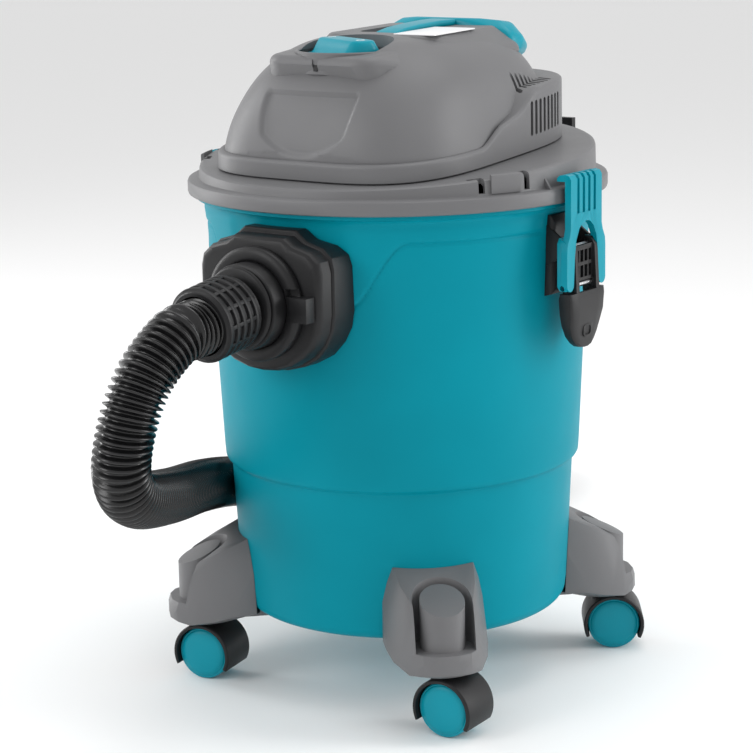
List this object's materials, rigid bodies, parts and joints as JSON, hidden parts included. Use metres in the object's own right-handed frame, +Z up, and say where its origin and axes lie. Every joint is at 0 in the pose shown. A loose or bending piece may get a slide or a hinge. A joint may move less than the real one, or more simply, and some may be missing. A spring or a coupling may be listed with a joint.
{
  "type": "shop vacuum",
  "caption": "Wheeled shop vacuum: drum tank on swivel castors, latched motor head with knob and carry bar, and a corrugated suction hose with a hand grip.",
  "frame": {"origin": "on the floor, at the tank's centre line", "axes": "+Z up; -Y is the front, where the hose plugs in; the latches are at +X and -X"},
  "size_m": [0.6037, 0.8491, 0.487],
  "materials": {
    "teal_plastic": "satin",
    "gray_plastic": "satin, finely textured",
    "black_plastic": "satin, finely textured",
    "hose_plastic": "gloss",
    "black_rubber": "matt",
    "steel": "brushed",
    "copper_winding": "lacquered wire",
    "cast_aluminium": "satin",
    "white_label": "satin",
    "filter_cloth": "felted cloth"
  },
  "bodies": {
    "tank_body": {"tank": "teal_plastic", "inlet_housing": "black_plastic", "inlet_gasket": "black_rubber", "inlet_screws": "steel", "inlet_elbow": "black_plastic", "inlet_collar": "black_plastic", "hose_cuff": "black_plastic", "hose_sleeve": "black_plastic", "hose": "hose_plastic", "hand_grip": "black_plastic", "foot_screws": "steel", "foot_front_right": "gray_plastic", "foot_back_right": "gray_plastic", "foot_back_left": "gray_plastic", "foot_front_left": "gray_plastic", "latch_bracket_right": "black_plastic", "latch_pin_right": "steel", "latch_bracket_left": "black_plastic", "latch_pin_left": "steel"},
    "air_regulator_body": {"air_regulator": "black_plastic"},
    "head_body": {"lid_gasket": "black_rubber", "lid": "gray_plastic", "head_cover": "gray_plastic", "handle": "teal_plastic", "label_plate": "white_label", "switch_body": "black_plastic", "cord_gland": "black_rubber", "motor_can": "black_plastic", "motor_seal": "black_rubber", "stator": "steel", "bearings": "steel", "filter_cage": "black_plastic", "filter_sleeve": "filter_cloth", "cable_hook": "black_plastic", "head_screws": "steel"},
    "knob_body": {"power_knob": "teal_plastic"},
    "rotor_body": {"rotor_shaft": "steel", "armature": "copper_winding", "impeller": "cast_aluminium"},
    "float_body": {"float_ball": "teal_plastic"},
    "castor_fr": {"castor_stem_fr": "steel", "castor_hood_fr": "black_plastic"},
    "wheels_fr": {"castor_wheels_fr": "teal_plastic"},
    "castor_br": {"castor_stem_br": "steel", "castor_hood_br": "black_plastic"},
    "wheels_br": {"castor_wheels_br": "teal_plastic"},
    "castor_bl": {"castor_stem_bl": "steel", "castor_hood_bl": "black_plastic"},
    "wheels_bl": {"castor_wheels_bl": "teal_plastic"},
    "castor_fl": {"castor_stem_fl": "steel", "castor_hood_fl": "black_plastic"},
    "wheels_fl": {"castor_wheels_fl": "teal_plastic"},
    "lever_right": {"latch_lever_right": "black_plastic", "hook_pin_right": "steel"},
    "hook_right": {"latch_hook_right": "teal_plastic"},
    "lever_left": {"latch_lever_left": "black_plastic", "hook_pin_left": "steel"},
    "hook_left": {"latch_hook_left": "teal_plastic"}
  },
  "joints": [
    {"name": "head_lift", "type": "slide", "parent": "tank_body", "child": "head_body", "axis": [0, 0, 1], "range_m": [0, 0.09]},
    {"name": "knob_turn", "type": "hinge", "parent": "head_body", "child": "knob_body", "pos_m": [0, -0.06, 0.46588], "axis": [0, 0, 1], "range_deg": [0, 90]},
    {"name": "rotor_spin", "type": "hinge", "parent": "head_body", "child": "rotor_body", "pos_m": [0, 0, 0.3985], "axis": [0, 0, 1], "continuous": true},
    {"name": "float_rise", "type": "slide", "parent": "head_body", "child": "float_body", "axis": [0, 0, 1], "range_m": [0, 0.05]},
    {"name": "air_regulator_turn", "type": "hinge", "parent": "tank_body", "child": "air_regulator_body", "pos_m": [-0.3888, 0.3776, 0.024], "axis": [-0.6, -0.8, 0], "range_deg": [0, 60]},
    {"name": "castor_swivel_fr", "type": "hinge", "parent": "tank_body", "child": "castor_fr", "pos_m": [0.11102, -0.11102, 0.05], "axis": [0, 0, 1], "continuous": true},
    {"name": "wheel_spin_fr", "type": "hinge", "parent": "castor_fr", "child": "wheels_fr", "pos_m": [0.119, -0.1106, 0.02], "axis": [0.0523, -0.9986, 0], "continuous": true},
    {"name": "castor_swivel_br", "type": "hinge", "parent": "tank_body", "child": "castor_br", "pos_m": [0.11102, 0.11102, 0.05], "axis": [0, 0, 1], "continuous": true},
    {"name": "wheel_spin_br", "type": "hinge", "parent": "castor_br", "child": "wheels_br", "pos_m": [0.11765, 0.11549, 0.02], "axis": [0.5592, -0.829, 0], "continuous": true},
    {"name": "castor_swivel_bl", "type": "hinge", "parent": "tank_body", "child": "castor_bl", "pos_m": [-0.11102, 0.11102, 0.05], "axis": [0, 0, 1], "continuous": true},
    {"name": "wheel_spin_bl", "type": "hinge", "parent": "castor_bl", "child": "wheels_bl", "pos_m": [-0.1035, 0.11375, 0.02], "axis": [0.342, -0.9397, 0], "continuous": true},
    {"name": "castor_swivel_fl", "type": "hinge", "parent": "tank_body", "child": "castor_fl", "pos_m": [-0.11102, -0.11102, 0.05], "axis": [0, 0, 1], "continuous": true},
    {"name": "wheel_spin_fl", "type": "hinge", "parent": "castor_fl", "child": "wheels_fl", "pos_m": [-0.10316, -0.10949, 0.02], "axis": [0.1908, -0.9816, 0], "continuous": true},
    {"name": "latch_lever_right_turn", "type": "hinge", "parent": "tank_body", "child": "lever_right", "pos_m": [0.1555, 0, 0.3355], "axis": [0, -1, 0], "range_deg": [0, 50.01]},
    {"name": "latch_hook_right_turn", "type": "hinge", "parent": "lever_right", "child": "hook_right", "pos_m": [0.1575, 0, 0.3085], "axis": [0, -1, 0], "range_deg": [-116.01, 0]},
    {"name": "latch_lever_left_turn", "type": "hinge", "parent": "tank_body", "child": "lever_left", "pos_m": [-0.1555, 0, 0.3355], "axis": [0, 1, 0], "range_deg": [0, 50.01]},
    {"name": "latch_hook_left_turn", "type": "hinge", "parent": "lever_left", "child": "hook_left", "pos_m": [-0.1575, 0, 0.3085], "axis": [0, 1, 0], "range_deg": [-116.01, 0]}
  ],
  "couplings": [
    {"joint": "latch_lever_right_turn", "follows": "head_lift", "rad_per_m": 9.6963},
    {"joint": "latch_hook_right_turn", "follows": "head_lift", "rad_per_m": -22.495},
    {"joint": "latch_lever_left_turn", "follows": "head_lift", "rad_per_m": 9.6963},
    {"joint": "latch_hook_left_turn", "follows": "head_lift", "rad_per_m": -22.495}
  ]
}
